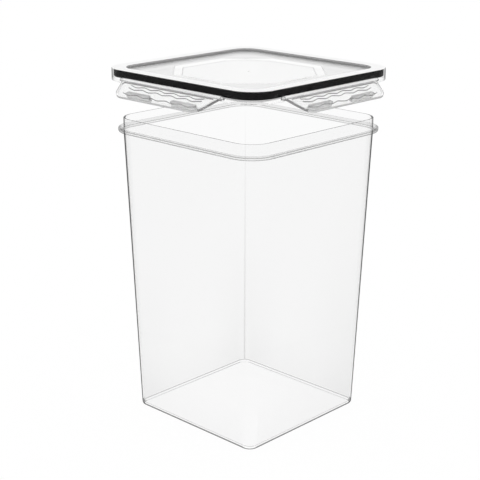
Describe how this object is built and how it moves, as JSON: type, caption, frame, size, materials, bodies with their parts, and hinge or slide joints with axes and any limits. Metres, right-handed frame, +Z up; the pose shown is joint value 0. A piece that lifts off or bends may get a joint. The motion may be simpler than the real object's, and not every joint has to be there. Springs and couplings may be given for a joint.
{
  "type": "food canister",
  "caption": "Clear tapered square food canister with a lift-off lid, a black seal ring in the lid and hinged flaps that lock under the collar of the neck.",
  "frame": {"origin": "middle of the base, on the surface that the canister stands on", "axes": "+Z up along the tub, +X and +Y square to the tub's sides, with the front side facing -Y"},
  "size_m": [0.2336, 0.2336, 0.3301],
  "materials": {
    "tub_plastic": "clear, polished mould",
    "lid_plastic": "clear, polished mould",
    "seal_silicone": "satin black silicone",
    "flap_plastic": "clear, polished mould"
  },
  "bodies": {
    "tub": {"canister": "tub_plastic"},
    "lid": {"lid_cover": "lid_plastic", "gasket": "seal_silicone"},
    "front_flap": {"flap_front": "flap_plastic"},
    "right_flap": {"flap_right": "flap_plastic"},
    "back_flap": {"flap_back": "flap_plastic"},
    "left_flap": {"flap_left": "flap_plastic"}
  },
  "joints": [
    {"name": "lid_lift", "type": "slide", "parent": "tub", "child": "lid", "axis": [0, 0, 1], "range_m": [-0.0395, 0.06]},
    {"name": "front_hinge", "type": "hinge", "parent": "lid", "child": "front_flap", "pos_m": [0, -0.0969, 0.3225], "axis": [-1, 0, 0], "range_deg": [-62, 48]},
    {"name": "right_hinge", "type": "hinge", "parent": "lid", "child": "right_flap", "pos_m": [0.0969, 0, 0.3225], "axis": [0, -1, 0], "range_deg": [-62, 48]},
    {"name": "back_hinge", "type": "hinge", "parent": "lid", "child": "back_flap", "pos_m": [0, 0.0969, 0.3225], "axis": [1, 0, 0], "range_deg": [-62, 48]},
    {"name": "left_hinge", "type": "hinge", "parent": "lid", "child": "left_flap", "pos_m": [-0.0969, 0, 0.3225], "axis": [0, 1, 0], "range_deg": [-62, 48]}
  ]
}
